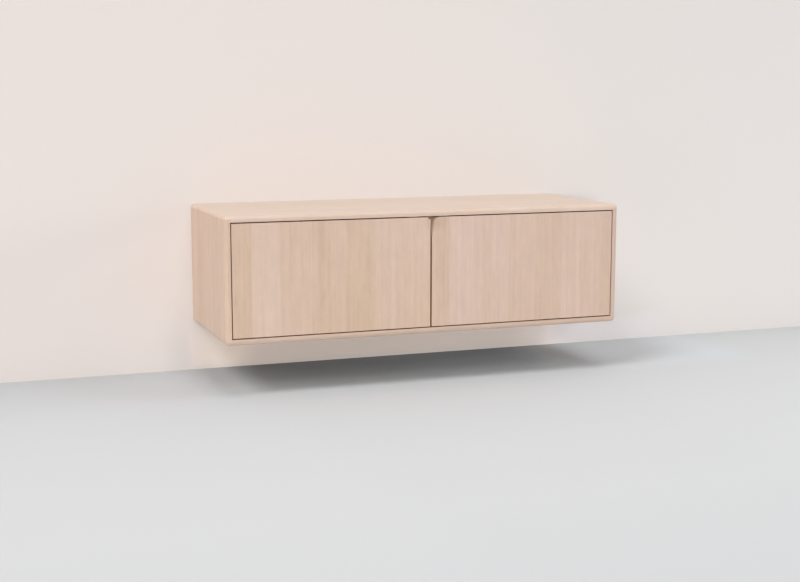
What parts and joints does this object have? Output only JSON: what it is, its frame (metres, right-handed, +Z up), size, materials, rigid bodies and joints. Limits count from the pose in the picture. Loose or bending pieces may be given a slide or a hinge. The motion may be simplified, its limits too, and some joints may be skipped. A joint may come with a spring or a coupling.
{
  "type": "floating media console",
  "caption": "Long, low wall-hung wooden media console with softly rounded outer edges, inset side-hinged doors, a finger pull, inner shelves and cable outlets on a hidden hanging rail.",
  "frame": {"origin": "on the wall plane, midway along the line of the wall rail's screw slots", "axes": "+X to the right as seen from the room, +Y into the wall, +Z up"},
  "size_m": [1.25, 0.46, 0.371],
  "materials": {
    "oak_veneer": "matt clear lacquer",
    "beech": "raw",
    "zinc_plated_steel": "zinc plated",
    "nickel_plated_steel": "nickel plated",
    "white_plastic": "moulded",
    "beige_plastic": "moulded",
    "ferrite": "sintered",
    "clear_rubber": "soft"
  },
  "bodies": {
    "carcass": {"top_panel": "oak_veneer", "bottom_panel": "oak_veneer", "left_side_panel": "oak_veneer", "right_side_panel": "oak_veneer", "centre_partition": "oak_veneer", "back_panel": "oak_veneer", "left_shelf": "oak_veneer", "right_shelf": "oak_veneer", "mitre_splines": "beech", "partition_dowels": "beech", "stretcher_dowels": "beech", "hanging_stretcher": "beech", "cabinet_rail": "zinc_plated_steel", "cabinet_rail_screws": "zinc_plated_steel", "wall_rail": "zinc_plated_steel", "shelf_pins": "nickel_plated_steel", "hinge_plate_screws": "nickel_plated_steel", "hinge_arm_screws": "nickel_plated_steel", "catch_screws": "nickel_plated_steel", "left_magnet_catch": "white_plastic", "right_magnet_catch": "white_plastic", "left_cable_grommet": "beige_plastic", "right_cable_grommet": "beige_plastic", "catch_magnets": "ferrite", "door_bumpers": "clear_rubber", "left_upper_hinge_arm": "nickel_plated_steel", "left_lower_hinge_arm": "nickel_plated_steel", "left_upper_hinge_plate": "nickel_plated_steel", "left_lower_hinge_plate": "nickel_plated_steel", "right_upper_hinge_arm": "nickel_plated_steel", "right_lower_hinge_arm": "nickel_plated_steel", "right_upper_hinge_plate": "nickel_plated_steel", "right_lower_hinge_plate": "nickel_plated_steel"},
    "left_door_leaf": {"left_door": "oak_veneer", "left_cup_screws": "nickel_plated_steel", "left_strike_plate": "nickel_plated_steel", "left_strike_screw": "nickel_plated_steel", "left_upper_hinge_cup": "nickel_plated_steel", "left_lower_hinge_cup": "nickel_plated_steel", "left_upper_hinge_pin": "nickel_plated_steel", "left_lower_hinge_pin": "nickel_plated_steel"},
    "right_door_leaf": {"right_door": "oak_veneer", "right_cup_screws": "nickel_plated_steel", "right_strike_plate": "nickel_plated_steel", "right_strike_screw": "nickel_plated_steel", "right_upper_hinge_cup": "nickel_plated_steel", "right_lower_hinge_cup": "nickel_plated_steel", "right_upper_hinge_pin": "nickel_plated_steel", "right_lower_hinge_pin": "nickel_plated_steel"}
  },
  "joints": [
    {"name": "left_door_hinge", "type": "hinge", "parent": "carcass", "child": "left_door_leaf", "pos_m": [-0.58, -0.4485, 0], "axis": [0, 0, -1], "range_deg": [0, 95]},
    {"name": "right_door_hinge", "type": "hinge", "parent": "carcass", "child": "right_door_leaf", "pos_m": [0.58, -0.4485, 0], "axis": [0, 0, 1], "range_deg": [0, 95]}
  ]
}
